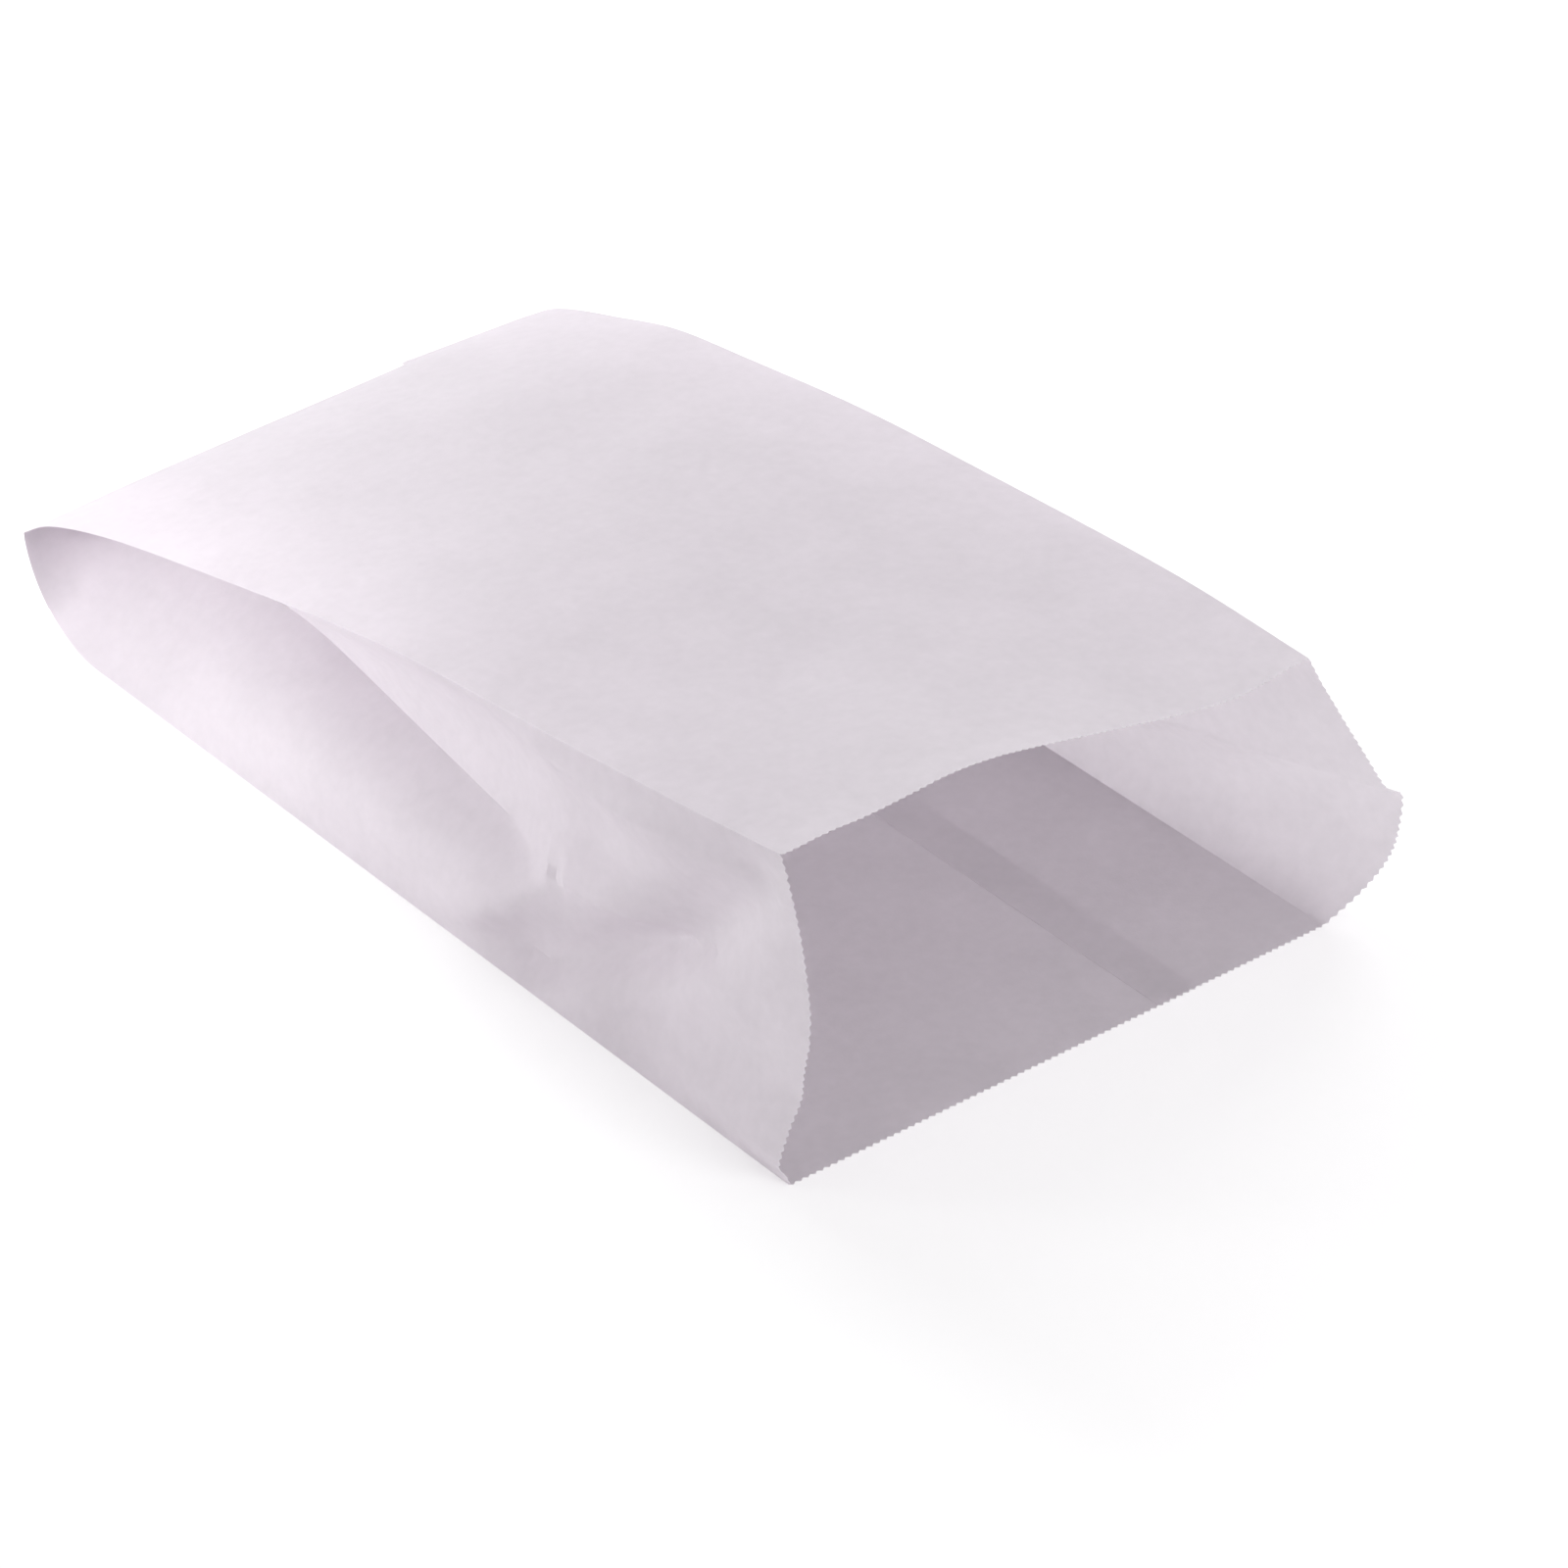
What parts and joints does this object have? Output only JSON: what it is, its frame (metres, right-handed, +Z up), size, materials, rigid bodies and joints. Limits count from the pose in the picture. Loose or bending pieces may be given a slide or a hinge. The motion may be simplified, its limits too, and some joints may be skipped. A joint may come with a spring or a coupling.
{
  "type": "paper bag",
  "caption": "Plain white paper bag with gusseted sides and a serrated mouth, lying open on its back panel.",
  "frame": {"origin": "centre of the bag's bounding box in X and Y, at the height of the table that it lies on", "axes": "+Y along the bag, from its open mouth to its folded and glued end; +Z up, out of the table; +X across the mouth"},
  "size_m": [0.1798, 0.2976, 0.0841],
  "materials": {
    "paper": "matte"
  },
  "bodies": {
    "root": {"paper_bag": "paper"}
  },
  "joints": []
}
